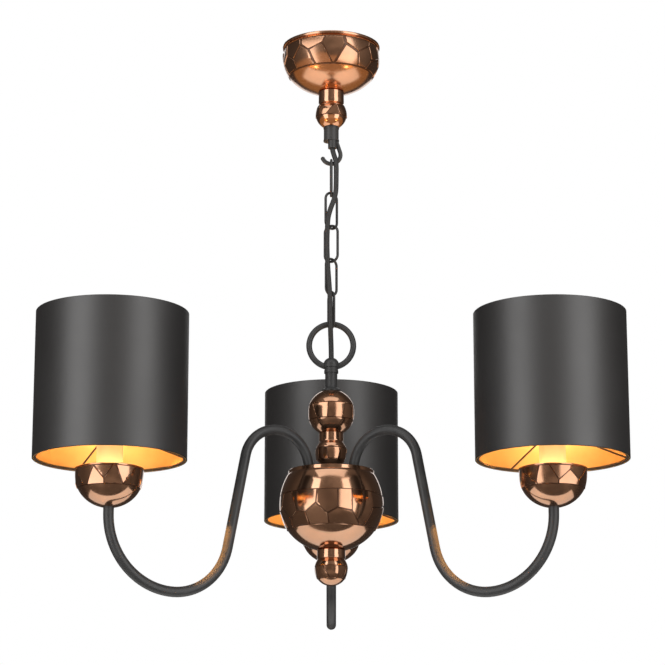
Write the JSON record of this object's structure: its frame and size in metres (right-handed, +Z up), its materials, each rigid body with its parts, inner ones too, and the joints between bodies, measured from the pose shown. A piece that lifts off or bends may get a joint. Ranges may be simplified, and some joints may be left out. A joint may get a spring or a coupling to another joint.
{
  "type": "pendant light",
  "caption": "Chain-hung pendant light with a copper ceiling cup, turned copper column and bowl, swept black arms and black drum shades lined in gold.",
  "frame": {"origin": "on the ceiling, at the centre of the ceiling cup", "axes": "+Z up into the ceiling, +X right and +Y away from the viewer, along the back arm"},
  "size_m": [0.5786, 0.5213, 0.5975],
  "materials": {
    "copper": "lacquered aged copper plate with dark seams",
    "black_paint": "satin black paint",
    "shade_cloth": "black satin cloth on board",
    "gold_lining": "brushed gold foil",
    "steel": "zinc plated",
    "brass_screw": "plain brass",
    "flex_black": "matt black sheath",
    "wire_insulation": "plain insulation",
    "white_plastic": "moulded",
    "frosted_glass": "frosted"
  },
  "bodies": {
    "ceiling": {"ceiling_bracket": "steel", "bracket_nuts": "steel", "terminal_block": "white_plastic", "earth_screw": "brass_screw", "ceiling_cup": "copper", "top_tube": "steel", "supply_lead": "flex_black", "hook": "black_paint", "flex": "flex_black"},
    "cup_knop": {"cup_knop": "copper"},
    "link_1": {"link_1": "black_paint"},
    "link_2": {"link_2": "black_paint"},
    "link_3": {"link_3": "black_paint"},
    "link_4": {"link_4": "black_paint"},
    "link_5": {"link_5": "black_paint"},
    "ring": {"ring": "black_paint"},
    "fitting": {"ring_holder": "black_paint", "centre_tube": "steel", "upper_ball": "copper", "centre_knop": "copper", "bowl_cover": "black_paint", "bowl": "copper", "arm_nuts": "steel", "bowl_connector": "white_plastic", "arm_wiring": "wire_insulation", "arm_left": "black_paint", "arm_right": "black_paint", "arm_back": "black_paint", "lamp_cup_left": "copper", "lamp_cup_right": "copper", "lamp_cup_back": "copper", "lampholder_left": "white_plastic", "lampholder_right": "white_plastic", "lampholder_back": "white_plastic", "shade_frame_left": "steel", "shade_frame_right": "steel", "shade_frame_back": "steel", "shade_left": "shade_cloth", "shade_right": "shade_cloth", "shade_back": "shade_cloth", "lining_left": "gold_lining", "lining_right": "gold_lining", "lining_back": "gold_lining", "top_ring_left": "steel", "top_ring_right": "steel", "top_ring_back": "steel"},
    "finial": {"finial": "copper"},
    "ring_nut_left": {"ring_nut_left": "white_plastic"},
    "bulb_left": {"bulb_cap_left": "steel", "bulb_glass_left": "frosted_glass"},
    "ring_nut_right": {"ring_nut_right": "white_plastic"},
    "bulb_right": {"bulb_cap_right": "steel", "bulb_glass_right": "frosted_glass"},
    "ring_nut_back": {"ring_nut_back": "white_plastic"},
    "bulb_back": {"bulb_cap_back": "steel", "bulb_glass_back": "frosted_glass"}
  },
  "joints": [
    {"name": "knop_turn", "type": "hinge", "parent": "ceiling", "child": "cup_knop", "pos_m": [0, 0, -0.07535], "axis": [0, 0, 1], "range_deg": [0, 720]},
    {"name": "link_1_swing", "type": "hinge", "parent": "ceiling", "child": "link_1", "pos_m": [0, 0, -0.12986], "axis": [1, 0, 0], "range_deg": [-20, 20], "deforming": ["flex"]},
    {"name": "link_2_swing", "type": "hinge", "parent": "link_1", "child": "link_2", "pos_m": [0, 0, -0.16481], "axis": [-0.0349, 0.9994, 0], "range_deg": [-20, 20], "deforming": ["flex"]},
    {"name": "link_3_swing", "type": "hinge", "parent": "link_2", "child": "link_3", "pos_m": [0, 0, -0.20061], "axis": [0.8192, 0.5736, 0], "range_deg": [-20, 20], "deforming": ["flex"]},
    {"name": "link_4_swing", "type": "hinge", "parent": "link_3", "child": "link_4", "pos_m": [0, 0, -0.23641], "axis": [0.9272, -0.3746, 0], "range_deg": [-20, 20], "deforming": ["flex"]},
    {"name": "link_5_swing", "type": "hinge", "parent": "link_4", "child": "link_5", "pos_m": [0, 0, -0.27221], "axis": [0.766, 0.6428, 0], "range_deg": [-20, 20], "deforming": ["flex"]},
    {"name": "ring_swing", "type": "hinge", "parent": "link_5", "child": "ring", "pos_m": [0, 0, -0.30801], "axis": [-0.4067, 0.9135, 0], "range_deg": [-20, 20], "deforming": ["flex"]},
    {"name": "fitting_swing", "type": "hinge", "parent": "ring", "child": "fitting", "pos_m": [0, 0, -0.34886], "axis": [1, 0, 0], "range_deg": [-20, 20], "deforming": ["flex"]},
    {"name": "finial_turn", "type": "hinge", "parent": "fitting", "child": "finial", "pos_m": [0, 0, -0.55775], "axis": [0, 0, 1], "range_deg": [0, 720]},
    {"name": "ring_nut_left_turn", "type": "hinge", "parent": "fitting", "child": "ring_nut_left", "pos_m": [-0.21434, -0.12375, -0.44678], "axis": [0, 0, 1], "range_deg": [0, 720]},
    {"name": "bulb_left_turn", "type": "hinge", "parent": "fitting", "child": "bulb_left", "pos_m": [-0.21434, -0.12375, -0.45658], "axis": [0, 0, 1], "range_deg": [0, 720]},
    {"name": "ring_nut_right_turn", "type": "hinge", "parent": "fitting", "child": "ring_nut_right", "pos_m": [0.21434, -0.12375, -0.44678], "axis": [0, 0, 1], "range_deg": [0, 720]},
    {"name": "bulb_right_turn", "type": "hinge", "parent": "fitting", "child": "bulb_right", "pos_m": [0.21434, -0.12375, -0.45658], "axis": [0, 0, 1], "range_deg": [0, 720]},
    {"name": "ring_nut_back_turn", "type": "hinge", "parent": "fitting", "child": "ring_nut_back", "pos_m": [0, 0.2475, -0.44678], "axis": [0, 0, 1], "range_deg": [0, 720]},
    {"name": "bulb_back_turn", "type": "hinge", "parent": "fitting", "child": "bulb_back", "pos_m": [0, 0.2475, -0.45658], "axis": [0, 0, 1], "range_deg": [0, 720]}
  ]
}
